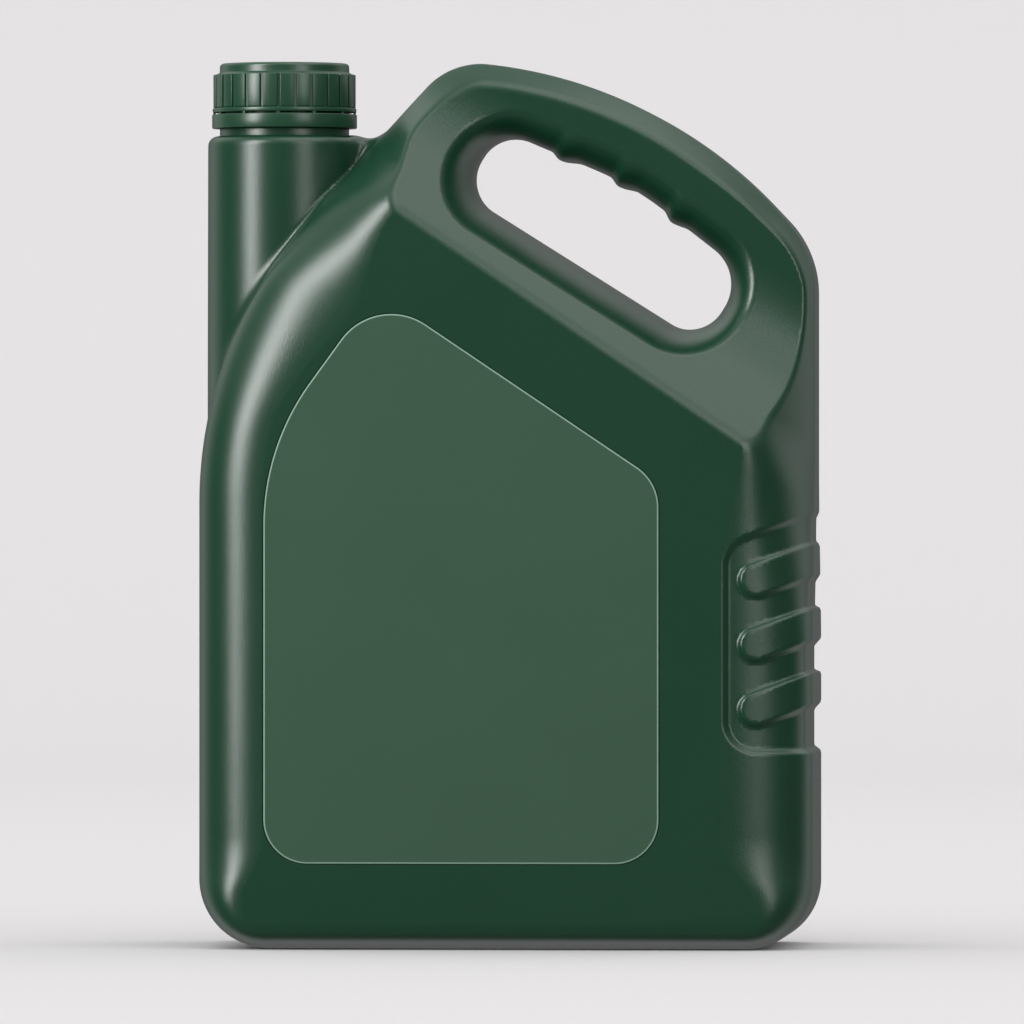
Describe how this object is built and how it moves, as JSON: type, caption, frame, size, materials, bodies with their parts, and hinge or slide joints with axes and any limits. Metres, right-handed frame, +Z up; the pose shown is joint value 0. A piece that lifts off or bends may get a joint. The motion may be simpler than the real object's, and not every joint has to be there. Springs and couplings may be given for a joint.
{
  "type": "motor oil bottle",
  "caption": "Blow-moulded motor oil bottle with a through handle, a ribbed screw cap on a coarse neck thread, a tamper ring and blank label panels.",
  "frame": {"origin": "centre of the base, on the surface the bottle stands on", "axes": "+Z up towards the cap, +X across the bottle from the neck towards the hand grip, +Y from the front label to the back label"},
  "size_m": [0.218, 0.1084, 0.315],
  "materials": {
    "bottle_plastic": "satin dark green blow-moulded polyethylene",
    "cap_plastic": "satin dark green moulded polypropylene",
    "liner_foam": "white foamed polyethylene",
    "label_film": "matte green film"
  },
  "bodies": {
    "bottle_body": {"bottle": "bottle_plastic", "tamper_ring": "cap_plastic", "front_label": "label_film", "back_label": "label_film"},
    "cap_lift": {"cap_liner": "liner_foam"},
    "cap_body": {"cap": "cap_plastic"}
  },
  "joints": [
    {"name": "cap_rise", "type": "slide", "parent": "bottle_body", "child": "cap_lift", "axis": [0, 0, 1], "range_m": [0, 0.0101]},
    {"name": "cap_turn", "type": "hinge", "parent": "cap_lift", "child": "cap_body", "pos_m": [-0.0815, 0, 0.305], "axis": [0, 0, 1], "range_deg": [0, 720]}
  ],
  "couplings": [
    {"joint": "cap_rise", "follows": "cap_turn", "m_per_rad": 0.00079577}
  ]
}
